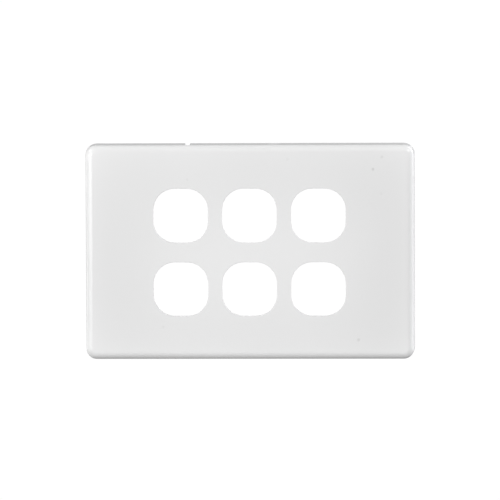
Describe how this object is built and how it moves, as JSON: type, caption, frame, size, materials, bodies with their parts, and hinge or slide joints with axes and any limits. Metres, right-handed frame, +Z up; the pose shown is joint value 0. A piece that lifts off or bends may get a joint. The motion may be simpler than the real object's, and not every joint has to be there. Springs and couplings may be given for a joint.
{
  "type": "switch plate",
  "caption": "Moulded rectangular cover plate with rounded edges and a grid of rounded-square openings for wall switches; clips over a grid frame on the wall.",
  "frame": {"origin": "middle of the rear rim, in the plane of the wall", "axes": "+X along the plate to the right of someone facing it, +Y into the wall, +Z up; the face looks along -Y"},
  "size_m": [0.116, 0.009, 0.076],
  "materials": {
    "white_plastic": "moulded, gloss on the face and satin behind it"
  },
  "bodies": {
    "root": {"switch_plate": "white_plastic"}
  },
  "joints": []
}
